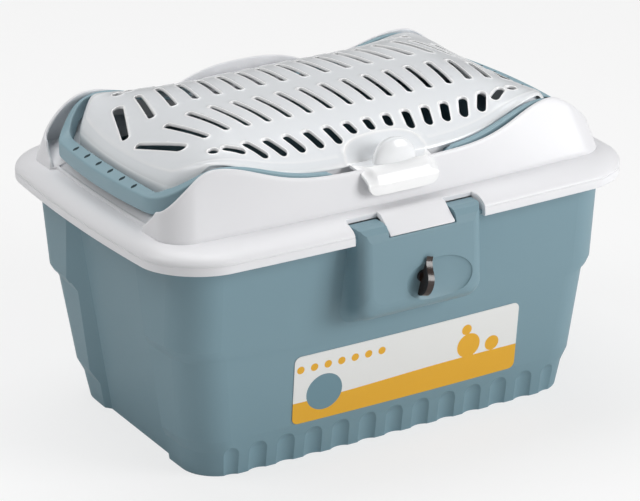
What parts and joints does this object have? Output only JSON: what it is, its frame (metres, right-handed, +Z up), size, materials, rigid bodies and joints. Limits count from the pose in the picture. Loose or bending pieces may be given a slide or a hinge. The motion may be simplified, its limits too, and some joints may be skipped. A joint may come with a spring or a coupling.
{
  "type": "top-load pet carrier",
  "caption": "Deep moulded plastic tub with a hinged lid, a slotted domed door in the lid, fold-down carrying handles and a front turn catch.",
  "frame": {"origin": "centre of the flat underside of the tub, which it stands on", "axes": "+X along the length, to the viewer's right when facing the catch; -Y towards the catch, +Y towards the lid hinge; +Z up"},
  "size_m": [0.396, 0.3099, 0.2428],
  "materials": {
    "tub_plastic": "semi-matt grey-teal polypropylene",
    "lid_plastic": "semi-matt white polypropylene",
    "door_plastic": "milky translucent polypropylene",
    "hinge_pin": "plain wire",
    "handle_plastic": "semi-matt grey-teal polypropylene",
    "catch_plastic": "glossy dark brown, slightly see-through at the edges",
    "label_film": "printed paper label, white with an amber band"
  },
  "bodies": {
    "tub": {"tub": "tub_plastic", "front_label": "label_film", "lid_hinge_pins": "hinge_pin"},
    "lid": {"lid": "lid_plastic", "door_hinge_pins": "hinge_pin"},
    "grille_door": {"grille_door": "door_plastic"},
    "handle_left": {"handle_left": "handle_plastic"},
    "handle_right": {"handle_right": "handle_plastic"},
    "turn_catch": {"turn_catch": "catch_plastic"}
  },
  "joints": [
    {"name": "lid_hinge", "type": "hinge", "parent": "tub", "child": "lid", "pos_m": [0, 0.144, 0.1645], "axis": [-1, 0, 0], "range_deg": [0, 100]},
    {"name": "door_hinge", "type": "hinge", "parent": "lid", "child": "grille_door", "pos_m": [0, 0.107, 0.217], "axis": [-1, 0, 0], "range_deg": [0, 85]},
    {"name": "handle_left_pivot", "type": "hinge", "parent": "lid", "child": "handle_left", "pos_m": [-0.051, 0, 0.207], "axis": [0, -1, 0], "range_deg": [-105, 0]},
    {"name": "handle_right_pivot", "type": "hinge", "parent": "lid", "child": "handle_right", "pos_m": [0.051, 0, 0.207], "axis": [0, 1, 0], "range_deg": [-105, 0]},
    {"name": "catch_turn", "type": "hinge", "parent": "tub", "child": "turn_catch", "pos_m": [0, -0.151, 0.139], "axis": [0, 1, 0], "range_deg": [0, 90]}
  ]
}
